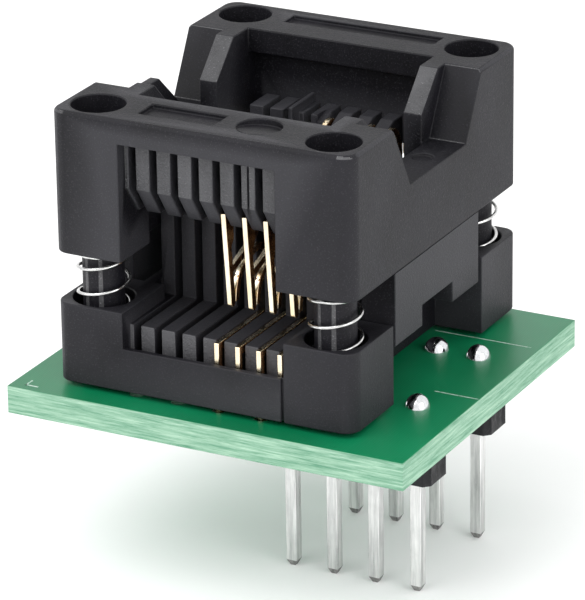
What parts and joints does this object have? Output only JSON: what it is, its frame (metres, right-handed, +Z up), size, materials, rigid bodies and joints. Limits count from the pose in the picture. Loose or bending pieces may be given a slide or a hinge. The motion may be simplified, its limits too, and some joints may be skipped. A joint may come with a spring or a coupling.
{
  "type": "chip programming socket adapter",
  "caption": "Open-top spring-loaded test socket for small-outline chips, soldered to a small green adapter board with two rows of square plug pins below.",
  "frame": {"origin": "centre of the two-row plug-pin pattern, on the underside of the header strips, where the adapter seats", "axes": "+Z up, away from the plug pins; +X along the pin rows towards the end with the fitted contacts; +Y to the back"},
  "size_m": [0.0241, 0.022, 0.0268],
  "materials": {
    "laminate": "green solder mask on glass-epoxy",
    "strip_plastic": "black moulded",
    "socket_plastic": "black glass-filled, fine grain",
    "tinned_pin": "tin plated",
    "solder": "bright solder",
    "gold_plate": "gold plated",
    "spring_wire": "bright spring steel"
  },
  "bodies": {
    "socket_and_board": {"circuit_board": "laminate", "header_strip_front": "strip_plastic", "header_strip_back": "strip_plastic", "header_pin_1": "tinned_pin", "header_pin_2": "tinned_pin", "header_pin_3": "tinned_pin", "header_pin_4": "tinned_pin", "header_pin_5": "tinned_pin", "header_pin_6": "tinned_pin", "header_pin_7": "tinned_pin", "header_pin_8": "tinned_pin", "header_solder_1": "solder", "header_solder_2": "solder", "header_solder_3": "solder", "header_solder_4": "solder", "header_solder_5": "solder", "header_solder_6": "solder", "header_solder_7": "solder", "header_solder_8": "solder", "socket_base": "socket_plastic", "contact_foot_1": "gold_plate", "contact_foot_2": "gold_plate", "contact_foot_3": "gold_plate", "contact_foot_4": "gold_plate", "contact_foot_5": "gold_plate", "contact_foot_6": "gold_plate", "contact_foot_7": "gold_plate", "contact_foot_8": "gold_plate", "contact_solder_1": "solder", "contact_solder_2": "solder", "contact_solder_3": "solder", "contact_solder_4": "solder", "contact_solder_5": "solder", "contact_solder_6": "solder", "contact_solder_7": "solder", "contact_solder_8": "solder", "spring_front_left": "spring_wire", "spring_front_right": "spring_wire", "spring_back_left": "spring_wire", "spring_back_right": "spring_wire"},
    "cover": {"cover": "socket_plastic"},
    "front_contacts": {"contact_lever_1": "gold_plate", "contact_lever_2": "gold_plate", "contact_lever_3": "gold_plate", "contact_lever_4": "gold_plate"},
    "back_contacts": {"contact_lever_5": "gold_plate", "contact_lever_6": "gold_plate", "contact_lever_7": "gold_plate", "contact_lever_8": "gold_plate"}
  },
  "joints": [
    {"name": "cover_press", "type": "slide", "parent": "socket_and_board", "child": "cover", "axis": [0, 0, -1], "range_m": [0, 0.0023], "stiffness_N_per_m": 1500, "springref_m": -0.002, "deforming": ["spring_front_left", "spring_front_right", "spring_back_left", "spring_back_right"]},
    {"name": "front_contacts_open", "type": "hinge", "parent": "socket_and_board", "child": "front_contacts", "pos_m": [-0.00298, -0.00735, 0.00979], "axis": [1, 0, 0], "range_deg": [0, 8.1]},
    {"name": "back_contacts_open", "type": "hinge", "parent": "socket_and_board", "child": "back_contacts", "pos_m": [-0.00298, 0.00875, 0.00979], "axis": [-1, 0, 0], "range_deg": [0, 8.1]}
  ],
  "couplings": [
    {"joint": "front_contacts_open", "follows": "cover_press", "rad_per_m": 60.7},
    {"joint": "back_contacts_open", "follows": "cover_press", "rad_per_m": 60.7}
  ]
}
